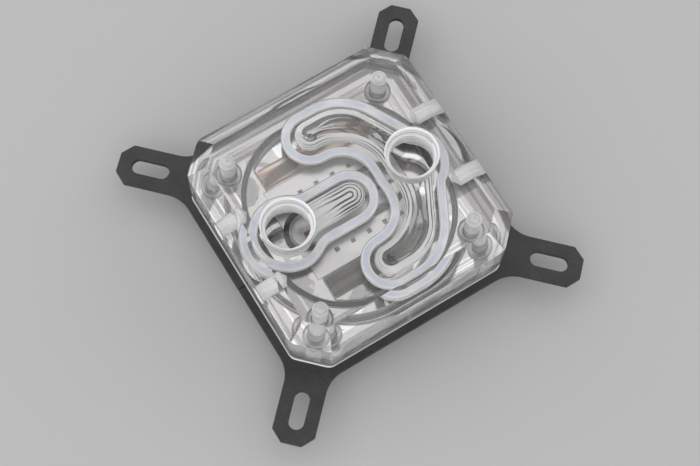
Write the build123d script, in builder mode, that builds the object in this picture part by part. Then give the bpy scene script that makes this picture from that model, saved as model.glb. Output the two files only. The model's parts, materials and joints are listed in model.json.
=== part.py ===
from build123d import *
from math import radians, sqrt, tan
import os

# A clear water block for a processor, standing on its contact face.
# X runs from the inlet port to the outlet port and Z is up.
# The origin is on the contact face, under the middle of the cold plate.

# Body outline, shared by the three stacked layers
body_width = 65.8
corner_cut = 7.4
corner_round = 3.0

# Heights of the stack, from the contact face up
bracket_clearance = 5.9
bracket_thickness = 1.6
flange_thickness = 3.3
middle_thickness = 4.2
top_thickness = 12.5
seat_gap = 0.05
bevel = 5.0

bracket_top = bracket_clearance + bracket_thickness
flange_top = bracket_top + flange_thickness
middle_bottom = flange_top + seat_gap
middle_top = middle_bottom + middle_thickness
top_bottom = middle_top + seat_gap
top_face = top_bottom + top_thickness

# Ports and the channels under them
port_offset = 18.35
port_thread_d = 13.16
port_lead_in = 0.5
port_lead_angle = 90.0
port_overrun = 0.3
channel_height = 5.0
channel_round = 1.8
port_r = port_thread_d / 2
port_depth = top_thickness - channel_height

# Gasket loops: centre lines, then the section
gasket_width = 2.4
gasket_height = 1.9
gasket_edge = 0.5
groove_clearance = 0.06
groove_land = 1.1
port_loop_r = 8.9
inlet_end_r = 6.2
inlet_blend_r = 6.0
outlet_end_y = 19.5
outlet_end_r = 6.3
outlet_turn_x = 4.0
outlet_turn_r = 15.0
outlet_turn_angle = 62.0
outlet_run = 15.5
outlet_inner_x = 9.6
outlet_inner_r = 9.2
outlet_blend_r = 4.0
channel_inset = gasket_width / 2 + groove_land

# Side bores for indicator lamps
lamp_bore_d = 4.5
lamp_bore_depth = 7.0
lamp_bore_y = 9.9
lamp_bore_height = 3.1
drill_angle = 118.0

# Corner screws, their holes and the rings round them
screw_pitch = 45.2
screw_d = 4.0
screw_clearance = 0.15
screw_reach = 4.9
screw_head_d = 7.6
screw_head_height = 2.2
screw_head_round = 0.8
screw_point = 0.4
screw_hex = 2.5
screw_hex_depth = 1.3
tapped_depth = 9.2
tapped_clearance = 0.05
pilot_d = 3.3
pilot_depth = 9.9
ring_section = 1.25
ring_seat_depth = 1.0

# Microfins and the chamber round them
fin_pitch = 0.64
fin_slot = 0.34
fin_count = 50
fin_length = 40.0
fin_height = 2.7
chamber_corner = 1.0
chamber_side = 0.3
jet_thickness = 0.8
jet_length = 35.0
jet_width = 27.0
jet_clearance = 0.2
jet_slot_length = 27.0
jet_slot_width = 1.2
window_size = 1.3
window_pitch = 4.8
window_shift = 0.4
window_row_y = 9.0
windows_in_row = 5

# Passages in the middle plate
inlet_slot_length = 10.0
inlet_slot_width = 4.2
plenum_depth = 2.0
outlet_hole_d = 4.2
outlet_plenum_length = 33.0
plenum_land = 0.5
slot_seal_length = 21.6
slot_seal_shift = -1.4
slot_seal_r = 5.8
plate_ring_x = 25.0
plate_ring_y = 25.8
plate_ring_corner = 20.4
seal_width = 1.3
seal_height = 1.1
seal_edge = 0.3

# Contact boss of the cold plate
boss_width = 46.0
boss_screw_gap = 2.0
boss_edge = 0.5

# Mounting bracket, two identical halves turned half a turn
bracket_width = 70.0
bracket_gap = 0.3
bracket_seam = 0.3
seam_offset = 2.7
arm_width = 11.1
arm_corner = 2.9
arm_blend_r = 9.0
slot_radius = 53.74
slot_length = 10.04
slot_width = 4.0
slot_end_wall = 3.74

os.makedirs("parts", exist_ok=True)


def body_outline():
    # Square with cut corners, rounded where the cuts meet the sides
    with BuildSketch() as outline:
        Rectangle(body_width, body_width)
        chamfer(outline.vertices(), corner_cut)
        fillet(outline.vertices(), corner_round)
    return outline.sketch


def inlet_loop():
    # Keyhole round the inlet port and the middle of the block
    with BuildSketch() as loop:
        with Locations((-port_offset / 2, 0)):
            SlotCenterToCenter(port_offset, 2 * inlet_end_r)
        with Locations((-port_offset, 0)):
            Circle(port_loop_r)
        fillet(loop.vertices().group_by(Axis.X)[0], inlet_blend_r)
    return loop.sketch


def outlet_loop():
    # C shape from one outlet hole, round the outlet port, to the other outlet hole
    outer_y = outlet_end_y + outlet_end_r
    inner_y = outlet_end_y - outlet_end_r
    with BuildSketch() as loop:
        with BuildLine():
            Line((0, 0), (0, outer_y))
            straight = Line((0, outer_y), (outlet_turn_x, outer_y))
            turn = JernArc(straight @ 1, straight % 1, outlet_turn_r, -outlet_turn_angle)
            run = Line(turn @ 1, turn @ 1 + (turn % 1) * outlet_run)
            Line(run @ 1, ((run @ 1).X, 0))
            mirror(about=Plane.XZ)
        make_face()
        RectangleRounded(2 * outlet_inner_x, 2 * inner_y, outlet_inner_r, mode=Mode.SUBTRACT)
        with Locations((0, outlet_end_y), (0, -outlet_end_y)):
            Circle(outlet_end_r)
        with Locations(Location((port_offset, 0, 0), (0, 0, 180))):
            Circle(port_loop_r)
        shoulders = loop.vertices().filter_by(lambda v: abs(v.Y) > 1).group_by(Axis.X)[-1]
        fillet(shoulders, outlet_blend_r)
    return loop.sketch


def band(loop, width):
    # Flat band of the given width, centred on the edge of a loop
    return offset(loop, width / 2) - offset(loop, -width / 2)


def plate_shape(inset):
    # Filled shape of the plate ring, drawn in by the given amount all round
    with BuildSketch() as shape:
        RectangleRounded(2 * (plate_ring_x - inset), 2 * (plate_ring_y - inset), plate_ring_corner - inset)
    return shape.sketch


def slot_shape(inset):
    # Filled shape of the slot seal, drawn in by the given amount all round
    with BuildSketch() as shape:
        with Locations((slot_seal_shift, 0)):
            SlotCenterToCenter(slot_seal_length, 2 * (slot_seal_r - inset))
    return shape.sketch


def seal_ring(shape, width):
    # Flat ring of the given width on the edge of one of the two shapes above
    return shape(-width / 2) - shape(width / 2)


def drill(diameter, depth):
    # What a drill removes below its mouth at the origin, with its pointed end
    tip = diameter / 2 / tan(radians(drill_angle / 2))
    with BuildPart() as cut:
        with BuildSketch(Plane.XZ):
            with BuildLine():
                Polyline((0, 0), (diameter / 2, 0), (diameter / 2, -depth), (0, -depth - tip), close=True)
            make_face()
        revolve(axis=Axis.Z)
    return cut.part


def moulded_loop(face, bottom, height, edge):
    # Rubber or silicone loop of even height, with rounded edges
    with BuildPart() as loop:
        with BuildSketch(Plane.XY.offset(bottom)):
            add(face)
        extrude(amount=height)
        rims = loop.edges().filter_by_position(Axis.Z, bottom, bottom)
        rims += loop.edges().filter_by_position(Axis.Z, bottom + height, bottom + height)
        fillet(rims, edge)
    return loop.part


inlet_face = inlet_loop()
outlet_face = outlet_loop()
outline_face = body_outline()
screw_spots = GridLocations(screw_pitch, screw_pitch, 2, 2)
screw_hole_d = screw_d + 2 * screw_clearance
fin_tip = flange_top - jet_thickness
fin_field = fin_pitch * fin_count
boss_cut = boss_width - screw_pitch + sqrt(2) * (screw_head_d / 2 + boss_screw_gap)
arm_reach = slot_radius + slot_length / 2 + slot_end_wall
groove_width = gasket_width + 2 * groove_clearance

# Top block: outline with a bevel on all eight sides
side_reach = body_width / 2
cut_reach = (body_width - corner_cut) / sqrt(2)
lamp_spots = [Plane((side * side_reach, row * lamp_bore_y, top_bottom + lamp_bore_height), z_dir=(side, 0, 0))
              for side in (-1, 1) for row in (-1, 1)]
screw_mouths = [Plane((side * screw_pitch / 2, row * screw_pitch / 2, top_bottom), z_dir=(0, 0, -1))
                for side in (-1, 1) for row in (-1, 1)]
with BuildPart() as top_block:
    with BuildSketch(Plane.XY.offset(top_bottom)):
        add(outline_face)
    extrude(amount=top_thickness)
    for turn_angle in range(0, 360, 45):
        out = Vector(1, 0, 0).rotate(Axis.Z, turn_angle)
        reach = cut_reach if turn_angle % 90 else side_reach
        bevel_plane = Plane(out * reach + Vector(0, 0, top_face - bevel), z_dir=out + Vector(0, 0, 1))
        split(bisect_by=bevel_plane, keep=Keep.BOTTOM)
    # Channels, milled from below with a round-cornered cutter
    for loop_face in (inlet_face, outlet_face):
        with BuildSketch(Plane.XY.offset(top_bottom)):
            add(offset(loop_face, -channel_inset))
        extrude(amount=channel_height, mode=Mode.SUBTRACT)
    ceiling = top_bottom + channel_height
    fillet(top_block.edges().filter_by_position(Axis.Z, ceiling, ceiling), channel_round)
    # Gasket grooves
    for loop_face in (inlet_face, outlet_face):
        with BuildSketch(Plane.XY.offset(top_bottom)):
            add(band(loop_face, groove_width))
        extrude(amount=gasket_height, mode=Mode.SUBTRACT)
    # Ports, down through the channel ceilings
    with Locations((-port_offset, 0, top_face), (port_offset, 0, top_face)):
        CounterSinkHole(port_r, port_r + port_lead_in, port_depth + port_overrun, port_lead_angle)
    # Lamp bores in the left and right sides
    with Locations(*lamp_spots):
        add(drill(lamp_bore_d, lamp_bore_depth), mode=Mode.SUBTRACT)
    # Tapped blind holes for the corner screws, drilled from below
    with Locations(*screw_mouths):
        add(drill(pilot_d, pilot_depth), mode=Mode.SUBTRACT)
        Hole(screw_d / 2 + tapped_clearance, tapped_depth)
top_block.part.label = "top_block"
export_step(top_block.part, "parts/top_block.step")

# Middle plate: inlet slot, outlet holes, and the seal grooves of its underside
plenum_inset = seal_width / 2 + plenum_land
outlet_plenum_near = jet_width / 2 + plenum_land
outlet_plenum_far = plate_ring_y - plenum_inset
outlet_plenum_y = (outlet_plenum_near + outlet_plenum_far) / 2
seal_groove_width = seal_width + 2 * groove_clearance
with BuildPart() as middle_plate:
    with BuildSketch(Plane.XY.offset(middle_bottom)):
        add(outline_face)
    extrude(amount=middle_thickness)
    with BuildSketch(Plane.XY.offset(middle_bottom)):
        SlotOverall(inlet_slot_length, inlet_slot_width)
        with Locations((0, outlet_end_y), (0, -outlet_end_y)):
            Circle(outlet_hole_d / 2)
        with screw_spots:
            Circle(screw_hole_d / 2)
    extrude(amount=middle_thickness, mode=Mode.SUBTRACT)
    with BuildSketch(Plane.XY.offset(middle_bottom)):
        add(slot_shape(plenum_inset))
    extrude(amount=plenum_depth, mode=Mode.SUBTRACT)
    with BuildSketch(Plane.XY.offset(middle_bottom)):
        with Locations((0, outlet_plenum_y), (0, -outlet_plenum_y)):
            Rectangle(outlet_plenum_length, outlet_plenum_far - outlet_plenum_near)
        add(plate_shape(plenum_inset), mode=Mode.INTERSECT)
    extrude(amount=plenum_depth, mode=Mode.SUBTRACT)
    with BuildSketch(Plane.XY.offset(middle_bottom)):
        add(seal_ring(slot_shape, seal_groove_width))
        add(seal_ring(plate_shape, seal_groove_width))
    extrude(amount=seal_height, mode=Mode.SUBTRACT)
    with BuildSketch(Plane.XY.offset(middle_bottom)):
        with screw_spots:
            Circle(screw_hole_d / 2 + ring_section + groove_clearance)
    extrude(amount=ring_seat_depth, mode=Mode.SUBTRACT)
middle_plate.part.label = "middle_plate"
export_step(middle_plate.part, "parts/middle_plate.step")

# Cold plate: flange, contact boss, jet plate seat and microfins
with BuildPart() as cold_plate:
    with BuildSketch(Plane.XY.offset(bracket_top)):
        add(outline_face)
    extrude(amount=flange_thickness)
    with BuildSketch() as boss_outline:
        Rectangle(boss_width, boss_width)
        chamfer(boss_outline.vertices(), boss_cut)
    extrude(amount=bracket_top)
    chamfer(cold_plate.edges().group_by(Axis.Z)[0], boss_edge)
    with BuildSketch(Plane.XY.offset(flange_top)):
        Rectangle(jet_length + 2 * jet_clearance, jet_width + 2 * jet_clearance)
        RectangleRounded(fin_field + 2 * chamber_side, fin_length, chamber_corner)
    extrude(amount=-jet_thickness, mode=Mode.SUBTRACT)
    with BuildSketch(Plane.XY.offset(fin_tip)):
        with GridLocations(fin_pitch, 1, fin_count, 1):
            Rectangle(fin_slot, fin_length - 2 * chamber_corner)
    extrude(amount=-fin_height, mode=Mode.SUBTRACT)
    with BuildSketch(Plane.XY.offset(bracket_top)):
        with screw_spots:
            Circle(screw_hole_d / 2)
    extrude(amount=flange_thickness, mode=Mode.SUBTRACT)
cold_plate.part.label = "cold_plate"
export_step(cold_plate.part, "parts/cold_plate.step")

# Jet plate: thin sheet on the fin tips, with the jet slot and two rows of windows
with BuildPart() as jet_plate:
    with BuildSketch(Plane.XY.offset(fin_tip)):
        Rectangle(jet_length, jet_width)
        SlotOverall(jet_slot_length, jet_slot_width, mode=Mode.SUBTRACT)
        with Locations((window_shift, 0)):
            with GridLocations(window_pitch, 2 * window_row_y, windows_in_row, 2):
                Rectangle(window_size, window_size, mode=Mode.SUBTRACT)
    extrude(amount=jet_thickness)
jet_plate.part.label = "jet_plate"
export_step(jet_plate.part, "parts/jet_plate.step")

# Seals
seals = {
    "inlet_gasket": moulded_loop(band(inlet_face, gasket_width), middle_top, gasket_height, gasket_edge),
    "outlet_gasket": moulded_loop(band(outlet_face, gasket_width), middle_top, gasket_height, gasket_edge),
    "slot_seal": moulded_loop(seal_ring(slot_shape, seal_width), flange_top, seal_height, seal_edge),
    "plate_o_ring": moulded_loop(seal_ring(plate_shape, seal_width), flange_top, seal_height, seal_edge),
}
for name, seal in seals.items():
    seal.label = name
    export_step(seal, f"parts/{name}.step")

# Corner screws with their rings, one of each at every corner
corners = {"front": (-1, -1), "right": (1, -1), "rear": (1, 1), "left": (-1, 1)}
for name, (side_x, side_y) in corners.items():
    spot = (side_x * screw_pitch / 2, side_y * screw_pitch / 2)
    with BuildPart() as corner_screw:
        with BuildSketch(Plane.XY.offset(bracket_clearance - screw_head_height)):
            with Locations(spot):
                Circle(screw_head_d / 2)
        extrude(amount=screw_head_height)
        fillet(corner_screw.edges().group_by(Axis.Z)[0], screw_head_round)
        with BuildSketch(Plane.XY.offset(bracket_clearance)):
            with Locations(spot):
                Circle(screw_d / 2)
        extrude(amount=top_bottom + screw_reach - bracket_clearance)
        chamfer(corner_screw.edges().group_by(Axis.Z)[-1], screw_point)
        with BuildSketch(Plane.XY.offset(bracket_clearance - screw_head_height)):
            with Locations(spot):
                RegularPolygon(screw_hex / 2, 6, major_radius=False)
        extrude(amount=screw_hex_depth, mode=Mode.SUBTRACT)
    corner_screw.part.label = f"corner_screw_{name}"
    export_step(corner_screw.part, f"parts/corner_screw_{name}.step")
    with BuildPart() as screw_ring:
        with BuildSketch(Plane.XZ.offset(-spot[1])):
            with Locations((spot[0] + screw_hole_d / 2 + ring_section / 2, flange_top + ring_seat_depth / 2)):
                Ellipse(ring_section / 2, ring_seat_depth / 2)
        revolve(axis=Axis((*spot, 0), (0, 0, 1)))
    screw_ring.part.label = f"screw_ring_{name}"
    export_step(screw_ring.part, f"parts/screw_ring_{name}.step")

# Mounting bracket: frame with four diagonal arms, cut into two equal halves
with BuildSketch() as arm:
    Rectangle(2 * arm_reach, arm_width)
    chamfer(arm.vertices(), arm_corner)
with BuildSketch() as boss_window:
    Rectangle(boss_width + 2 * bracket_gap, boss_width + 2 * bracket_gap)
    chamfer(boss_window.vertices(), boss_cut)
with BuildSketch() as bracket_face:
    Rectangle(bracket_width, bracket_width)
    add(arm.sketch, rotation=45)
    add(arm.sketch, rotation=-45)
    frame_reach = bracket_width / 2 + 0.01
    inner_corners = bracket_face.vertices().filter_by(lambda v: max(abs(v.X), abs(v.Y)) < frame_reach)
    fillet(inner_corners, arm_blend_r)
    add(boss_window.sketch, mode=Mode.SUBTRACT)
    with PolarLocations(slot_radius, 4, start_angle=45):
        SlotOverall(slot_length, slot_width, mode=Mode.SUBTRACT)
    with screw_spots:
        Circle(screw_hole_d / 2, mode=Mode.SUBTRACT)
    with BuildLine():
        near = seam_offset - bracket_seam / 2
        far = -seam_offset - bracket_seam / 2
        Polyline((-arm_reach, far), (0, far), (0, near), (arm_reach, near),
                 (arm_reach, -arm_reach), (-arm_reach, -arm_reach), close=True)
    make_face(mode=Mode.INTERSECT)
with BuildPart() as bracket_front:
    with BuildSketch(Plane.XY.offset(bracket_clearance)):
        add(bracket_face.sketch)
    extrude(amount=bracket_thickness)
bracket_front.part.label = "bracket_front"
export_step(bracket_front.part, "parts/bracket_front.step")
with BuildPart() as bracket_rear:
    add(bracket_front.part, rotation=(0, 0, 180))
bracket_rear.part.label = "bracket_rear"
export_step(bracket_rear.part, "parts/bracket_rear.step")
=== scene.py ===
import json
import math

import bpy
from mathutils import Matrix, Vector
from mathutils.kdtree import KDTree


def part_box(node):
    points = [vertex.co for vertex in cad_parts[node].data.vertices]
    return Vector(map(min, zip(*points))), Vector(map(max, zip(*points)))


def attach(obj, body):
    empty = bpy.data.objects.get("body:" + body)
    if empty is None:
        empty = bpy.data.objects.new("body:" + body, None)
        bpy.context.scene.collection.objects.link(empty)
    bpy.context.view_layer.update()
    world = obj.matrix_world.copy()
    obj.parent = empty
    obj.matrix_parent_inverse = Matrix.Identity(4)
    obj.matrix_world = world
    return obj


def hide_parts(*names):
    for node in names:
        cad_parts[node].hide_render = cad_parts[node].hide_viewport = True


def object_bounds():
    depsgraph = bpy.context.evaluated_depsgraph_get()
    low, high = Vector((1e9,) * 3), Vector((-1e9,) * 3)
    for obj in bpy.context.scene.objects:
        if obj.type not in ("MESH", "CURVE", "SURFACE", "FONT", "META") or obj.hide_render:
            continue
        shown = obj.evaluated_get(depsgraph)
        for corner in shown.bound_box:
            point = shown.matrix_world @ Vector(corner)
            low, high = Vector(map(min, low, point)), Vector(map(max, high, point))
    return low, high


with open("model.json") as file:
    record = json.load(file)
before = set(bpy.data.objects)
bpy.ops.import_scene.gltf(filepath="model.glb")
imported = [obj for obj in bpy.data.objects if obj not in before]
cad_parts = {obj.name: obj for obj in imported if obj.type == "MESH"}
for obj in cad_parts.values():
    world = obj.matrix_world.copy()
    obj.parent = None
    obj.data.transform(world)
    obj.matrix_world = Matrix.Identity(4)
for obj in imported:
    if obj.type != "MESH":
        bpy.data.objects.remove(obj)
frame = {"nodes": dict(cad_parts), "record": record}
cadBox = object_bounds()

nodes = frame["nodes"]
mm = 0.001

# The stack's own heights and places, read from the frame
topLow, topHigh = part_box("top_block")
bracketLow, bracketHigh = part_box("bracket_front")
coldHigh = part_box("cold_plate")[1]
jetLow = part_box("jet_plate")[0]
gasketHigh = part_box("inlet_gasket")[1]
mounts = {mount["name"]: mount for mount in frame["record"]["mounts"]}
portRadius = mounts["inlet_port"]["dims"]["r_mm"] * mm
portPlaces = [Vector(mounts[name]["pos_m"]) for name in ("inlet_port", "outlet_port")]
lampRadius = mounts["lamp_bore_inlet_side_front"]["dims"]["r_mm"] * mm
lampPlaces = [Vector(mount["pos_m"]) for name, mount in mounts.items() if name.startswith("lamp_bore")]
corners = ("front", "right", "rear", "left")


def middleOf(node):
    low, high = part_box(node)
    return (low + high) / 2


class Wire:
    # one socket of a shader, for use in sums
    def __init__(self, finish, socket):
        self.finish = finish
        self.socket = socket

    def sum(self, operation, *terms):
        return self.finish.node("Math", {"operation": operation}, dict(enumerate(terms)))["Value"]

    def __add__(self, other):
        return self.sum("ADD", self, other)

    def __radd__(self, other):
        return self.sum("ADD", other, self)

    def __sub__(self, other):
        return self.sum("SUBTRACT", self, other)

    def __rsub__(self, other):
        return self.sum("SUBTRACT", other, self)

    def __mul__(self, other):
        return self.sum("MULTIPLY", self, other)

    def __rmul__(self, other):
        return self.sum("MULTIPLY", other, self)

    def __pow__(self, other):
        return self.sum("POWER", self, other)

    def __abs__(self):
        return self.sum("ABSOLUTE", self)

    def wave(self):
        return self.sum("SINE", self)

    def angle(self, across):
        return self.sum("ARCTAN2", self, across)

    def greatest(self, other):
        return self.sum("MAXIMUM", self, other)

    def below(self, other):
        return self.sum("LESS_THAN", self, other)


class Nodes:
    # what a node gives, by the name of its output
    def __init__(self, finish, shaderNode):
        self.finish = finish
        self.shaderNode = shaderNode

    def __getitem__(self, output):
        return Wire(self.finish, self.shaderNode.outputs[output])


class Finish:
    # one material and the nodes that make it
    def __init__(self, name):
        self.material = bpy.data.materials.new(name)
        self.material.use_nodes = True
        self.tree = self.material.node_tree
        self.tree.nodes.clear()

    def node(self, kind, settings=None, sockets=None):
        made = self.tree.nodes.new("ShaderNode" + kind)
        for setting, value in (settings or {}).items():
            if setting == "stops":
                elements = made.color_ramp.elements
                for spare in list(elements)[1:]:
                    elements.remove(spare)
                for number, (place, tone) in enumerate(value):
                    stop = elements[0] if number == 0 else elements.new(place)
                    stop.position = place
                    stop.color = (*tone, 1) if hasattr(tone, "__len__") else (tone, tone, tone, 1)
            else:
                setattr(made, setting, value)
        for socket, value in (sockets or {}).items():
            if isinstance(value, Wire):
                self.tree.links.new(value.socket, made.inputs[socket])
            else:
                made.inputs[socket].default_value = value
        return Nodes(self, made)

    def places(self):
        return self.node("TexCoord")["Object"]

    def axes(self, places):
        apart = self.node("SeparateXYZ", None, {"Vector": places})
        return apart["X"], apart["Y"], apart["Z"]

    def noise(self, places, scale, detail=2.0, roughness=0.5):
        return self.node("TexNoise", None, {"Vector": places, "Scale": scale, "Detail": detail,
                                            "Roughness": roughness})["Fac"]

    def stretched(self, places, scale):
        return self.node("Mapping", None, {"Vector": places, "Scale": scale})["Vector"]

    def ramp(self, value, stops):
        return self.node("ValToRGB", {"stops": stops}, {"Fac": value})["Color"]

    def blend(self, share, first, second):
        mixed = self.node("Mix", {"data_type": "RGBA"}, {0: share, 6: first, 7: second})
        return Wire(self, mixed.shaderNode.outputs[2])

    def bump(self, height, distance):
        sockets = {"Height": height, "Distance": distance, "Strength": 1.0}
        return self.node("Bump", None, sockets)["Normal"]

    def surface(self, sockets):
        shader = self.node("BsdfPrincipled", None, sockets)["BSDF"]
        self.node("OutputMaterial", None, {"Surface": shader})
        return self.material


def shade(value):
    return (value, value, value, 1)


# Finishes
clearValues = {"tint": (0.997, 0.997, 0.998, 1), "ior": 1.49, "roughness": 0.008, "wear": 0.02,
               "wearScale": 260, "polished": 1.0, "faced": 0.985}


def makeClear(name, transmission):
    # cast acrylic with the faintest wear, polished outside and a little hazy where its layers were faced
    finish = Finish(name)
    wear = finish.noise(finish.places(), clearValues["wearScale"], 3)
    return finish.surface({"Base Color": clearValues["tint"], "Transmission Weight": transmission,
                           "IOR": clearValues["ior"],
                           "Roughness": clearValues["roughness"] + clearValues["wear"] * (wear ** 3)})


millValues = {"wall": {"transmission": 0.22, "pitch": 1.25, "wander": 3.4, "depth": 0.10, "dark": 0.24},
              "ceiling": {"transmission": 0.96, "pitch": 1.30, "wander": 4.4, "depth": 0.12, "dark": 0.20},
              "inlet": {"transmission": 0.20, "pitch": 1.20, "wander": 4.0, "depth": 0.12, "dark": 0.20},
              "side": {"transmission": 0.80, "pitch": 1.60, "wander": 0.8, "depth": 0.03, "dark": 0.10},
              # tint is the white of the walls; the dark colour beside it is painted shade
              "tint": (1.0, 1.0, 1.0), "line": (0.10, 0.095, 0.09), "lineEdge": 0.12, "along": 70,
              "breaks": 2.6, "breakLevel": 0.44, "roughness": 0.02, "haze": 0.05}


def makeMilled(name, values, attribute=None):
    # ridges that a cutter leaves between its passes, along the walls of a channel or level round the sides;
    # the ridges are in the bump, and the dark lines painted between them in the colour are painted shade
    finish = Finish(name)
    places = finish.places()
    if attribute:
        across = finish.node("Attribute", {"attribute_name": attribute})["Fac"]
    else:
        across = finish.axes(places)[2]
    flow = finish.noise(places, millValues["along"], 1)
    ridges = abs((across * (math.pi / (values["pitch"] * mm)) + values["wander"] * flow).wave())
    stops = [(0, millValues["line"]), (values["dark"], millValues["line"]),
             (values["dark"] + millValues["lineEdge"], millValues["tint"])]
    # painted shade: dark lines between the ridges, interrupted here and there by noise
    ridgesAndPaintedShade = finish.ramp(ridges + millValues["breaks"] * (flow - millValues["breakLevel"]), stops)
    return finish.surface({"Base Color": ridgesAndPaintedShade, "Transmission Weight": values["transmission"],
                           "IOR": clearValues["ior"],
                           "Roughness": millValues["roughness"] + millValues["haze"] * flow,
                           "Normal": finish.bump(ridges + 2 * flow, values["depth"] * mm)})


portThread = {"crest": 5.78, "root": 6.57, "pitch": 1.337, "low": 20.45, "turns": 4, "steps": 72,
              "foot": 0.86, "taper": 0.22}
frostValues = {"tint": (1.0, 1.0, 1.0), "shadow": (0.87, 0.87, 0.89), "roughness": 0.4, "grain": 1500,
               "streakDepth": 0.05, "bored": 0.06, "threaded": 0.35, "root": (0.46, 0.46, 0.48, 1),
               "tapPitch": 0.7, "tapDepth": 0.10, "tapShadow": (0.74, 0.74, 0.76, 1)}


def makeFrosted(name, stretch, transmission):
    # walls as the drill or tap left them, with streaks that run along the axes of the smaller scale; the
    # streaks are raised in the bump, and their darker tone in the colour is painted shade
    finish = Finish(name)
    places = finish.places()
    x, y, z = finish.axes(places)
    grain = finish.noise(places, frostValues["grain"], 3, 0.6)
    streak = finish.noise(finish.stretched(places, stretch), 1, 2)
    # painted shade: darker streaks in the white of the walls
    tint = finish.ramp(streak, [(0.40, frostValues["shadow"]), (0.52, frostValues["tint"])])
    if name == "threadedAcrylic":  # painted shade along the root of each turn
        sideways = x - portPlaces[1].x + 2 * portPlaces[1].x * x.below(0)
        rise = (z - portThread["low"] * mm) * (2 * math.pi / (portThread["pitch"] * mm))
        rootShadeShare = 0.5 - 0.5 * (rise - y.angle(sideways) + math.pi / 2).wave()
        # painted shade: the roots of the thread darkened
        tint = finish.blend(rootShadeShare ** 5, shade(1.0), frostValues["root"])
    relief = (streak + 0.3 * grain) * (frostValues["streakDepth"] * mm)
    if name == "tappedAcrylic":  # shallow turns of thread, fading here and there, with painted shade along the turns
        turns = (z * (2 * math.pi / (frostValues["tapPitch"] * mm)) + 2 * streak).wave()
        tint = finish.blend(turns * streak, tint, frostValues["tapShadow"])
        relief = relief + turns * (frostValues["tapDepth"] * mm)
    return finish.surface({"Base Color": tint, "Transmission Weight": transmission,
                           "IOR": clearValues["ior"], "Specular IOR Level": 0.15,
                           "Roughness": frostValues["roughness"] + 0.25 * grain,
                           "Normal": finish.bump(relief, 1.0)})


# the light and dark tints of the plating are painted reflections
nickelValues = {"light": (0.88, 0.86, 0.86), "plain": (0.56, 0.535, 0.535), "dull": (0.30, 0.28, 0.28),
                "roughness": 0.06, "rimFrom": 0.0235, "cornerLess": 0.0084, "rimBands": 760, "rimAlong": 9,
                "side": (0.62, 0.61, 0.61, 1), "sideRoughness": 0.46, "cloud": 90,
                "scratch": (60, 1400, 60), "depth": 0.002}
# copper shows through on the fins; the banding of these tints, front darker and rear lighter, is painted
# reflection, with cream a painted highlight
finValues = {"khaki": (0.25, 0.235, 0.20), "dark": (0.13, 0.115, 0.10), "copper": (0.66, 0.44, 0.33),
             "cream": (0.80, 0.71, 0.60), "brown": (0.17, 0.125, 0.10), "roughness": 0.22,
             "bands": (55, 480, 1)}


def makeNickel():
    # nickel plating with painted reflections: light and dark patches over its face and light and dark
    # stripes along its rim; over the microfins the plating is thinner and browner over the copper, with
    # painted reflections and a painted highlight
    finish = Finish("nickelPlate")
    places = finish.places()
    x, y, z = finish.axes(places)
    cloud = finish.noise(places, nickelValues["cloud"], 3)
    scratch = finish.noise(finish.stretched(places, nickelValues["scratch"]), 5, 2)
    cornerward = (abs(x) + abs(y)) * math.sqrt(0.5) - nickelValues["cornerLess"]
    rimward = abs(x).greatest(abs(y)).greatest(cornerward)
    along = finish.node("VectorMath", {"operation": "SCALE"},
                        {"Vector": places, "Scale": nickelValues["rimAlong"]})
    steps = finish.node("CombineXYZ", None, {"Z": rimward * nickelValues["rimBands"]})["Vector"]
    rimReflectionBars = finish.noise(finish.node("VectorMath", None, {0: along["Vector"], 1: steps})["Vector"], 1, 1)
    onRim = 1 - rimward.below(nickelValues["rimFrom"])
    # painted reflections: patches over the face, stripes along the rim
    paintedReflections = cloud + (rimReflectionBars - cloud) * onRim
    plating = finish.ramp(paintedReflections, [(0.42, nickelValues["dull"]), (0.45, nickelValues["plain"]),
                                  (0.56, nickelValues["plain"]), (0.58, nickelValues["light"])])
    field = abs(x).below(finReach["across"]) * abs(y).below(finReach["along"])
    field = field * z.below(finReach["top"]) * (-1 * z).below(-finReach["foot"])
    # painted reflections over the microfins: bands with a painted cream highlight at the rear, darker at the
    # front
    bands = finish.noise(finish.stretched(places, finValues["bands"]), 1, 1)
    rearEnd = finish.ramp(bands, [(0.30, finValues["brown"]), (0.44, finValues["brown"]),
                                  (0.50, finValues["copper"]), (0.58, finValues["copper"]),
                                  (0.66, finValues["cream"])])
    frontEnd = finish.ramp(bands, [(0.40, finValues["dark"]), (0.60, finValues["khaki"])])
    worn = finish.blend((-1 * y).below(0), frontEnd, rearEnd)
    inner = abs(x).below(outlineReach) * abs(y).below(outlineReach) * (abs(x) + abs(y)).below(cutCornerSum)
    # the upright sides are rougher and a little paler, the paler tint painted light
    polished = finish.blend(inner, nickelValues["side"], plating)
    roughness = nickelValues["roughness"] + 0.06 * cloud + finValues["roughness"] * field
    roughness = roughness + nickelValues["sideRoughness"] * (1 - inner)
    return finish.surface({"Base Color": finish.blend(field, polished, worn), "Metallic": 1.0,
                           "Roughness": roughness,
                           "Normal": finish.bump(scratch, nickelValues["depth"] * mm)})


jetValues = {"tint": (0.90, 0.875, 0.87, 1), "roughness": 0.34, "rolled": (40, 1600, 40), "depth": 0.002}


def makeJetSteel():
    finish = Finish("jetSteel")
    places = finish.places()
    rolled = finish.noise(finish.stretched(places, jetValues["rolled"]), 6, 3)
    return finish.surface({"Base Color": jetValues["tint"], "Metallic": 1.0,
                           "Roughness": jetValues["roughness"] + 0.12 * rolled,
                           "Normal": finish.bump(rolled, jetValues["depth"] * mm)})


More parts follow.
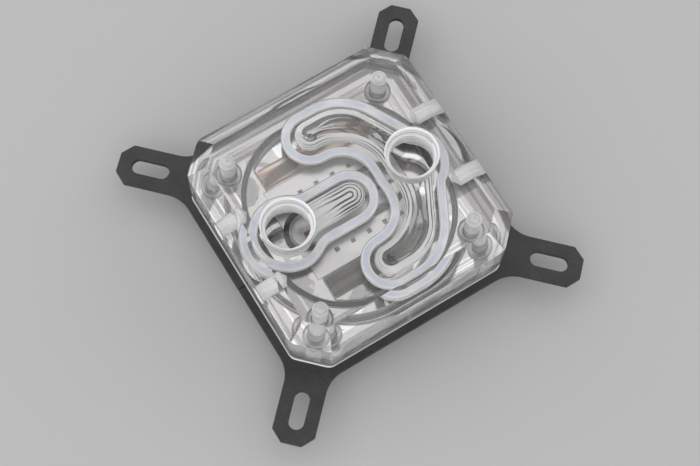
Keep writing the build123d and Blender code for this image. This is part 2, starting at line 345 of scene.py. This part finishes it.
siliconeValues = {"gasket": {"pale": (0.93, 0.94, 0.97), "deep": (0.74, 0.78, 0.90), "transmission": 0.02},
                  # white of the rounded gasket edges: a painted highlight
                  "edge": {"pale": (1.0, 1.0, 1.0), "deep": (1.0, 1.0, 1.0), "transmission": 0.02},
                  "ring": {"pale": (1.0, 1.0, 1.0), "deep": (0.98, 0.98, 0.99), "transmission": 0.96},
                  "cloud": 130, "ior": 1.41, "depth": 0.01}


def makeSilicone(name, values):
    # milky, clouded with a bluish tint
    finish = Finish(name)
    cloud = finish.noise(finish.places(), siliconeValues["cloud"], 2)
    tint = finish.ramp(cloud, [(0.42, values["deep"]), (0.62, values["pale"])])
    return finish.surface({"Base Color": tint, "Roughness": 0.26 + 0.12 * cloud,
                           "IOR": siliconeValues["ior"],
                           "Transmission Weight": values["transmission"],
                           "Normal": finish.bump(cloud, siliconeValues["depth"] * mm)})


rubberValues = {"tint": (0.012, 0.012, 0.013, 1), "grain": 1800, "depth": 0.01}


def makeRubber():
    finish = Finish("blackRubber")
    grain = finish.noise(finish.places(), rubberValues["grain"], 2)
    return finish.surface({"Base Color": rubberValues["tint"], "Roughness": 0.45 + 0.2 * grain,
                           "Normal": finish.bump(grain, rubberValues["depth"] * mm)})


coatValues = {"tint": (0.008, 0.008, 0.009, 1), "worn": (0.060, 0.060, 0.063, 1), "grain": 1500,
              "cloud": 160, "depth": 0.08, "roughness": 0.36}


def makeCoat():
    # fine textured powder coat
    finish = Finish("powderCoat")
    places = finish.places()
    grain = finish.noise(places, coatValues["grain"], 2)
    cloud = finish.noise(places, coatValues["cloud"], 3)
    tint = finish.blend(grain * cloud, coatValues["tint"], coatValues["worn"])
    return finish.surface({"Base Color": tint, "Roughness": coatValues["roughness"] + 0.2 * grain,
                           "Normal": finish.bump(grain, coatValues["depth"] * mm)})


screwValues = {"tint": (0.50, 0.50, 0.51, 1), "cloud": 500, "depth": 0.004}


def makeScrewSteel():
    finish = Finish("turnedSteel")
    cloud = finish.noise(finish.places(), screwValues["cloud"], 3)
    return finish.surface({"Base Color": screwValues["tint"], "Metallic": 1.0,
                           "Roughness": 0.24 + 0.15 * cloud,
                           "Normal": finish.bump(cloud, screwValues["depth"] * mm)})


finReach = {"across": 16.4 * mm, "along": 20.1 * mm, "foot": 7 * mm, "top": jetLow.z + 0.02 * mm}
cutCornerSum = 0.0575  # x and y of the cut corners add up to a little more
outlineReach = topHigh.x - 0.3 * mm
clearAcrylic = makeClear("clearAcrylic", clearValues["polished"])
facedAcrylic = makeClear("facedAcrylic", clearValues["faced"])
milledAcrylic = makeMilled("milledAcrylic", millValues["wall"], "passes")
milledCeiling = makeMilled("milledCeiling", millValues["ceiling"], "passes")
inletCeiling = makeMilled("inletCeiling", millValues["inlet"], "passes")
sawnAcrylic = makeMilled("sawnAcrylic", millValues["side"])
boredAcrylic = makeFrosted("boredAcrylic", (120, 1500, 1500), frostValues["bored"])
tappedAcrylic = makeFrosted("tappedAcrylic", (700, 700, 260), frostValues["bored"])
threadedAcrylic = makeFrosted("threadedAcrylic", (90, 90, 3000), frostValues["threaded"])
nickelPlate = makeNickel()
jetSteel = makeJetSteel()
blueWhiteSilicone = makeSilicone("blueWhiteSilicone", siliconeValues["gasket"])
paintedHighlightSilicone = makeSilicone("paintedHighlightSilicone", siliconeValues["edge"])
clearSilicone = makeSilicone("clearSilicone", siliconeValues["ring"])
blackRubber = makeRubber()
powderCoat = makeCoat()
turnedSteel = makeScrewSteel()
print("finishes made")


# Tools for the pieces
def alone(piece):
    # only this piece is selected and active
    bpy.ops.object.select_all(action="DESELECT")
    piece.select_set(True)
    bpy.context.view_layer.objects.active = piece


def copyOf(node, name):
    # a piece that starts as the solid's own mesh, with its loose triangles merged
    piece = nodes[node].copy()
    piece.data = nodes[node].data.copy()
    piece.parent = None
    for key in list(piece.keys()):
        del piece[key]
    piece.name = name
    piece.data.name = name
    bpy.context.scene.collection.objects.link(piece)
    alone(piece)
    bpy.ops.object.mode_set(mode="EDIT")
    bpy.ops.mesh.select_all(action="SELECT")
    bpy.ops.mesh.remove_doubles(threshold=0.0005 * mm)
    bpy.ops.mesh.customdata_custom_splitnormals_clear()
    bpy.ops.mesh.tris_convert_to_quads(face_threshold=0.01, shape_threshold=3.0)
    bpy.ops.object.mode_set(mode="OBJECT")
    piece.data.materials.clear()
    return piece


def dress(piece, *finishes):
    piece.data.materials.clear()
    for finish in finishes:
        piece.data.materials.append(finish)


def settle(piece, slot, *replaced):
    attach(piece, "root")
    if replaced:
        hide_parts(*replaced)


def smooth(piece, degrees):
    # rounds shade smooth while the broad flat faces beside them stay flat
    alone(piece)
    bpy.ops.object.shade_smooth_by_angle(angle=math.radians(degrees))
    flatten = piece.modifiers.new("flatten", "WEIGHTED_NORMAL")
    flatten.keep_sharp = True
    bpy.ops.object.modifier_apply(modifier="flatten")


def easeEdges(piece, chosen, width):
    # small round on the sharp edges whose two ends are both chosen
    mesh = piece.data
    sides = {}
    for face in mesh.polygons:
        for pair in face.edge_keys:
            sides.setdefault(pair, []).append(face.normal)
    weights = mesh.attributes.new("bevel_weight_edge", "FLOAT", "EDGE")
    for edge in mesh.edges:
        normals = sides.get(edge.key, [])
        sharp = len(normals) == 2 and normals[0].angle(normals[1]) > math.radians(20)
        if sharp and all(chosen(mesh.vertices[end].co) for end in edge.vertices):
            weights.data[edge.index].value = 1.0
    ease = piece.modifiers.new("ease", "BEVEL")
    ease.limit_method = "WEIGHT"
    ease.width = width
    ease.segments = 2
    alone(piece)
    bpy.ops.object.modifier_apply(modifier="ease")


def pickVertices(piece, chosen):
    # leaves the piece in edit mode with only these vertices selected
    alone(piece)
    bpy.ops.object.mode_set(mode="EDIT")
    bpy.ops.mesh.select_mode(type="VERT")
    bpy.ops.mesh.select_all(action="DESELECT")
    bpy.ops.object.mode_set(mode="OBJECT")
    for vertex in piece.data.vertices:
        vertex.select = chosen(vertex.co)
    bpy.ops.object.mode_set(mode="EDIT")


def onOutline(place):
    # on the upright outer faces that the three layers share
    return max(abs(place.x), abs(place.y)) > outlineReach or abs(place.x) + abs(place.y) > cutCornerSum


def nearAny(place, spots, reach, axes):
    return any(math.hypot(*(place[axis] - spot[axis] for axis in axes)) < reach for spot in spots)


def makeRib(name, place, values):
    # helical rib of a thread: a small tapered profile, screwed round the axis of its hole
    crest, root, pitch = values["crest"] * mm, values["root"] * mm, values["pitch"] * mm
    bpy.ops.object.select_all(action="DESELECT")
    bpy.ops.mesh.primitive_plane_add(size=1, location=((crest + root) / 2, 0, values["low"] * mm),
                                     rotation=(math.pi / 2, 0, 0))
    rib = bpy.context.active_object
    rib.name = rib.data.name = name
    rib.scale = (root - crest, pitch * values["foot"], 1)
    bpy.ops.object.transform_apply(location=True, rotation=True, scale=True)
    pickVertices(rib, lambda corner: corner.x < (crest + root) / 2)
    bpy.ops.transform.resize(value=(1, 1, values["taper"]), center_override=(crest, 0, values["low"] * mm))
    bpy.ops.mesh.select_all(action="SELECT")
    bpy.ops.mesh.delete(type="ONLY_FACE")
    bpy.ops.object.mode_set(mode="OBJECT")
    turn = rib.modifiers.new("turn", "SCREW")
    turn.screw_offset = pitch
    turn.iterations = values["turns"]
    turn.steps = turn.render_steps = values["steps"]
    bpy.ops.object.modifier_apply(modifier="turn")
    bpy.ops.object.mode_set(mode="EDIT")
    bpy.ops.mesh.select_all(action="DESELECT")
    bpy.ops.mesh.select_mode(type="EDGE")
    bpy.ops.mesh.select_non_manifold()
    bpy.ops.mesh.fill_holes(sides=4)
    bpy.ops.mesh.select_all(action="SELECT")
    bpy.ops.mesh.normals_make_consistent(inside=False)
    bpy.ops.object.mode_set(mode="OBJECT")
    rib.location = (place.x, place.y, 0)
    bpy.ops.object.transform_apply(location=True, rotation=False, scale=False)
    return rib


# Clear block: polished outside, milled channels, frosted bores and eased outer edges
clearPlaces = {"outletAlong": 19.5, "outletReach": 2.3, "lampFrom": 24, "screwReach": 3.0, "bevelReach": 5.5,
               "inletAcross": 5, "inletUpTo": 6, "portMargin": 0.6, "topBand": 0.2}
clearFinishes = {"polished": clearAcrylic, "milled": milledAcrylic, "bored": boredAcrylic,
                 "tapped": tappedAcrylic, "threaded": threadedAcrylic, "ceiling": milledCeiling,
                 "sawn": sawnAcrylic, "faced": facedAcrylic, "inletCeiling": inletCeiling}
easeValues = {"clear": 0.16, "bracket": 0.16, "foot": 0.22}
channelValues = {"height": 5.0, "round": 1.8, "cuts": 8, "step": 0.1}
channelTop = topLow.z + channelValues["height"] * mm
grooveTop = gasketHigh.z + 0.1 * mm
sides = (-1, 1)
screwOffset = middleOf("corner_screw_right").x
screwSpots = [Vector((sideX * screwOffset, sideY * screwOffset, 0)) for sideX in sides for sideY in sides]
outletSpots = [Vector((0, side * clearPlaces["outletAlong"] * mm, 0)) for side in sides]


def onCeiling(face):
    return face.normal.z < -0.999 and abs(face.center.z - channelTop) < 0.02 * mm


def inLampBore(place, margin):
    nearAxis = nearAny(place, lampPlaces, lampRadius + margin * mm, (1, 2))
    return nearAxis and abs(place.x) > clearPlaces["lampFrom"] * mm


def clearFinishOf(face, highest):
    # names the finish of a face of the clear layers, by where it lies
    place = face.center
    flat = abs(face.normal.z) > 0.999
    outside = onOutline(place) or abs(place.z - topHigh.z) < clearPlaces["topBand"] * mm
    reach = max(abs(place.x), abs(place.y))
    onBevel = 0.5 < face.normal.z < 0.9 and reach > topHigh.x - clearPlaces["bevelReach"] * mm
    inPort = nearAny(place, portPlaces, portRadius + clearPlaces["portMargin"] * mm, (0, 1))
    inScrew = nearAny(place, screwSpots, clearPlaces["screwReach"] * mm, (0, 1))
    inOutlet = nearAny(place, outletSpots, clearPlaces["outletReach"] * mm, (0, 1))
    if inOutlet and place.z < topLow.z:
        return "polished"
    if inLampBore(place, 0.1) or highest < grooveTop and not flat and not outside:
        return "bored"
    if inPort and place.z > channelTop and not flat:
        return "threaded"
    if onCeiling(face):
        toInlet = abs(place.y) < clearPlaces["inletAcross"] * mm and place.x < clearPlaces["inletUpTo"] * mm
        return "inletCeiling" if toInlet else "ceiling"
    if onOutline(place) and abs(face.normal.z) < 0.01:
        return "sawn"
    if inScrew and topLow.z + 0.02 * mm < place.z < topHigh.z - 1 * mm:
        return "tapped"
    if outside or onBevel:
        return "polished"
    return "faced" if flat else "milled"


def dressClear(piece):
    dress(piece, *clearFinishes.values())
    order = list(clearFinishes)
    for face in piece.data.polygons:
        highest = max(piece.data.vertices[end].co.z for end in face.vertices)
        face.material_index = order.index(clearFinishOf(face, highest))


def easedTop(place):
    clearOfPorts = not nearAny(place, portPlaces, portRadius + 1.5 * mm, (0, 1))
    onEdge = onOutline(place) or place.z > topHigh.z - 0.05 * mm
    return clearOfPorts and not inLampBore(place, 0.5) and onEdge


def cutCeilings(piece):
    # cuts the flat ceilings across, so that a pattern can follow the walls
    ceiling = [face for face in piece.data.polygons if onCeiling(face)]
    keys = [key for face in ceiling for key in face.edge_keys]
    inner = {key for key in keys if keys.count(key) == 2}
    alone(piece)
    bpy.ops.object.mode_set(mode="EDIT")
    bpy.ops.mesh.select_mode(type="EDGE")
    bpy.ops.mesh.select_all(action="DESELECT")
    bpy.ops.object.mode_set(mode="OBJECT")
    for edge in piece.data.edges:
        edge.select = edge.key in inner
    bpy.ops.object.mode_set(mode="EDIT")
    bpy.ops.mesh.subdivide(number_cuts=channelValues["cuts"])
    bpy.ops.mesh.select_mode(type="FACE")
    bpy.ops.mesh.select_all(action="DESELECT")
    bpy.ops.object.mode_set(mode="OBJECT")
    for face in piece.data.polygons:
        face.select = onCeiling(face)
    bpy.ops.object.mode_set(mode="EDIT")
    bpy.ops.mesh.quads_convert_to_tris(quad_method="SHORTEST_DIAGONAL", ngon_method="BEAUTY")
    bpy.ops.object.mode_set(mode="OBJECT")


def markPasses(piece):
    # notes how far each place of a channel lies in from the wall, less how far below the ceiling
    mesh = piece.data
    roundLow = channelTop - channelValues["round"] * mm
    outline = []
    for edge in mesh.edges:
        first, last = (mesh.vertices[end].co for end in edge.vertices)
        if abs(first.z - roundLow) < 0.01 * mm and abs(last.z - roundLow) < 0.01 * mm:
            count = int((last - first).length / (channelValues["step"] * mm)) + 1
            outline += [first.lerp(last, number / count) for number in range(count + 1)]
    tree = KDTree(len(outline))
    for number, place in enumerate(outline):
        tree.insert((place.x, place.y, 0), number)
    tree.balance()
    marks = mesh.attributes.new("passes", "FLOAT", "POINT")
    for vertex in mesh.vertices:
        place = vertex.co
        inward = 0
        if outline and roundLow < place.z < channelTop + 0.01 * mm:
            distance = tree.find((place.x, place.y, 0))[2]
            inward = distance if distance < channelValues["height"] * mm else 0
        marks.data[vertex.index].value = inward - (channelTop - place.z)


clearTop = copyOf("top_block", "clearTop")
cutCeilings(clearTop)
markPasses(clearTop)
dressClear(clearTop)
easeEdges(clearTop, easedTop, easeValues["clear"] * mm)
smooth(clearTop, 30)
settle(clearTop, "clear_acrylic", "top_block")
clearPlate = copyOf("middle_plate", "clearPlate")
markPasses(clearPlate)
dressClear(clearPlate)
easeEdges(clearPlate, onOutline, easeValues["clear"] * mm)
smooth(clearPlate, 30)
settle(clearPlate, "clear_acrylic", "middle_plate")
print("clear pieces made")

# Threads of the two ports
for name, place in (("inletThread", portPlaces[0]), ("outletThread", portPlaces[1])):
    thread = makeRib(name, place, portThread)
    dress(thread, threadedAcrylic)
    smooth(thread, 40)
    settle(thread, "clear_acrylic")
print("port threads made")

# Corner screws: the solid's head and hex socket, with a cut thread on the shank
screwThread = {"crest": 1.995, "root": 1.60, "pitch": 0.7, "low": 6.6, "turns": 18, "steps": 32,
               "foot": 0.82, "taper": 0.2}
shankValues = {"reach": 2.05, "drawIn": 0.81}
for corner, spot in zip(corners, ((-1, -1), (1, -1), (1, 1), (-1, 1))):
    axis = Vector((spot[0] * screwOffset, spot[1] * screwOffset, 0))
    screw = copyOf("corner_screw_" + corner, corner + "Screw")
    pickVertices(screw, lambda place: place.z > bracketLow.z - 0.05 * mm and
                 math.hypot(place.x - axis.x, place.y - axis.y) < shankValues["reach"] * mm)
    bpy.ops.transform.resize(value=(shankValues["drawIn"], shankValues["drawIn"], 1), center_override=axis)
    bpy.ops.object.mode_set(mode="OBJECT")
    rib = makeRib("rib", axis, screwThread)
    bpy.ops.object.select_all(action="DESELECT")
    rib.select_set(True)
    screw.select_set(True)
    bpy.context.view_layer.objects.active = screw
    bpy.ops.object.join()
    dress(screw, turnedSteel)
    smooth(screw, 35)
    settle(screw, "screw_steel", "corner_screw_" + corner)
print("screws made")

# Cold plate, drawn in a little above its foot
coldPlate = copyOf("cold_plate", "coldPlate")
alone(coldPlate)
bpy.ops.object.mode_set(mode="EDIT")
bpy.ops.mesh.select_all(action="SELECT")
footTop = bracketHigh.z + easeValues["foot"] * mm
bpy.ops.mesh.bisect(plane_co=(0, 0, footTop), plane_no=(0, 0, 1))
bpy.ops.object.mode_set(mode="OBJECT")
pickVertices(coldPlate, lambda place: onOutline(place) and place.z > footTop - 0.01 * mm)
drawIn = 1 - easeValues["foot"] * mm / coldHigh.x
bpy.ops.transform.resize(value=(drawIn, drawIn, 1), center_override=(0, 0, 0))
bpy.ops.object.mode_set(mode="OBJECT")

# Skived microfins: a thin tapered fin stands in each of the solid's slots
finShape = {"count": 50, "pitch": 0.64, "width": 0.17, "length": 39.9, "foot": 7.25, "top": 9.98,
            "taper": 0.7}
firstFin = (1 - finShape["count"]) / 2 * finShape["pitch"] * mm
finHalfway = (finShape["foot"] + finShape["top"]) / 2 * mm
finHeight = (finShape["top"] - finShape["foot"]) * mm
bpy.ops.object.select_all(action="DESELECT")
bpy.ops.mesh.primitive_cube_add(size=1, location=(firstFin, 0, finHalfway))
fins = bpy.context.active_object
fins.scale = (finShape["width"] * mm, finShape["length"] * mm, finHeight)
bpy.ops.object.transform_apply(location=True, rotation=True, scale=True)
pickVertices(fins, lambda corner: corner.z > finHalfway)
bpy.ops.transform.resize(value=(finShape["taper"], 1, 1), center_override=(firstFin, 0, 0))
bpy.ops.object.mode_set(mode="OBJECT")
row = fins.modifiers.new("row", "ARRAY")
row.count = finShape["count"]
row.use_relative_offset = False
row.use_constant_offset = True
row.constant_offset_displace = (finShape["pitch"] * mm, 0, 0)
bpy.ops.object.modifier_apply(modifier="row")
coldPlate.select_set(True)
bpy.context.view_layer.objects.active = coldPlate
bpy.ops.object.join()
smooth(coldPlate, 30)
dress(coldPlate, nickelPlate)
settle(coldPlate, "nickel", "cold_plate")
print("cold plate made")

# Gaskets, bluish over their flat top and whiter along its rounded edges, where the white is a painted
# highlight
gasketValues = {"edgeBand": 0.05, "hollow": 0.01}
for name, node in (("inletGasket", "inlet_gasket"), ("outletGasket", "outlet_gasket")):
    gasket = copyOf(node, name)
    pickVertices(gasket, lambda place: place.z > gasketHigh.z - 0.01 * mm)
    bpy.ops.mesh.select_mode(type="FACE")
    bpy.ops.mesh.inset(thickness=gasketValues["edgeBand"] * mm, depth=-gasketValues["hollow"] * mm)
    bpy.ops.object.mode_set(mode="OBJECT")
    dress(gasket, paintedHighlightSilicone, blueWhiteSilicone)
    for face in gasket.data.polygons:
        face.material_index = 1 if face.select else 0
    smooth(gasket, 40)
    settle(gasket, "silicone", node)
print("gaskets made")

# Bracket halves
for name, node in (("frontBracket", "bracket_front"), ("rearBracket", "bracket_rear")):
    bracket = copyOf(node, name)
    easeEdges(bracket, lambda place: True, easeValues["bracket"] * mm)
    smooth(bracket, 35)
    dress(bracket, powderCoat)
    settle(bracket, "bracket_coat", node)
print("brackets made")

for name, finish in (("jet_plate", jetSteel), ("slot_seal", blackRubber), ("plate_o_ring", blackRubber)):
    dress(nodes[name], finish)
for corner in corners:
    dress(nodes["screw_ring_" + corner], clearSilicone)
print("frame dressed")

# Floor, light and camera
stageValues = {"floorShade": 0.42, "floorReach": 3.0, "floorGap": 0.02, "skyShade": 0.74}
lampValues = {
    "overhead": {"place": (0.50, 0.62, 0.98), "aim": (0, 0, 0), "size": (1.0, 1.0), "power": 1.6},
    "frontPanel": {"place": (-0.55, -0.6, 0.55), "aim": (0, 0, 0.01), "size": (1.3, 0.9), "power": 4.0},
    "rearPanel": {"place": (-0.60, 0.65, 0.50), "aim": (0, 0, 0.01), "size": (1.4, 0.9), "power": 4.0},
    "sidePanel": {"place": (0.90, -0.20, 0.42), "aim": (0, 0, 0.01), "size": (1.2, 0.7), "power": 3.2}}


def makeFloor():
    finish = Finish("paleFloor")
    plain = finish.node("BsdfDiffuse", None, {"Color": shade(stageValues["floorShade"])})["BSDF"]
    finish.node("OutputMaterial", None, {"Surface": plain})
    bpy.ops.object.select_all(action="DESELECT")
    justBelow = cadBox[0].z - stageValues["floorGap"] * mm
    bpy.ops.mesh.primitive_plane_add(size=stageValues["floorReach"], location=(0, 0, justBelow))
    floor = bpy.context.active_object
    floor.name = "floor"
    dress(floor, finish.material)


def makeLamp(name, values):
    light = bpy.data.lights.new(name, "AREA")
    light.shape = "RECTANGLE"
    light.size, light.size_y = values["size"]
    light.energy = values["power"]
    lamp = bpy.data.objects.new(name, light)
    lamp.location = values["place"]
    facing = Vector(values["aim"]) - Vector(values["place"])
    lamp.rotation_euler = facing.to_track_quat("-Z", "Y").to_euler()
    bpy.context.scene.collection.objects.link(lamp)


def makeWorld():
    world = bpy.data.worlds.new("studio")
    bpy.context.scene.world = world
    world.use_nodes = True
    world.node_tree.nodes["Background"].inputs["Color"].default_value = shade(stageValues["skyShade"])


cameraValues = {"target": (-2.31, -4.48, 7.5), "distance": 418.03, "azimuth": -35.74, "elevation": 71.01,
                "roll": 4.31, "focalPixels": 1600, "frameWidth": 700, "sensor": 36}


def makeCamera():
    azimuth = math.radians(cameraValues["azimuth"])
    elevation = math.radians(cameraValues["elevation"])
    roll = math.radians(cameraValues["roll"])
    back = Vector((math.sin(azimuth) * math.cos(elevation), -math.cos(azimuth) * math.cos(elevation),
                   math.sin(elevation)))
    level = Vector((math.cos(azimuth), math.sin(azimuth), 0))
    upright = back.cross(level)
    right = level * math.cos(roll) + upright * math.sin(roll)
    up = upright * math.cos(roll) - level * math.sin(roll)
    lens = bpy.data.cameras.new("camera")
    lens.sensor_width = cameraValues["sensor"]
    lens.lens = cameraValues["focalPixels"] / cameraValues["frameWidth"] * cameraValues["sensor"]
    lens.clip_start, lens.clip_end = 0.01, 20
    camera = bpy.data.objects.new("camera", lens)
    turn = Matrix((right, up, back)).transposed().to_4x4()
    target = Vector(cameraValues["target"]) * mm
    camera.matrix_world = Matrix.Translation(target + back * cameraValues["distance"] * mm) @ turn
    bpy.context.scene.collection.objects.link(camera)
    bpy.context.scene.camera = camera


makeFloor()
makeWorld()
for name, values in lampValues.items():
    makeLamp(name, values)
makeCamera()
bpy.context.scene.view_settings.view_transform = "Standard"
print("stage set")
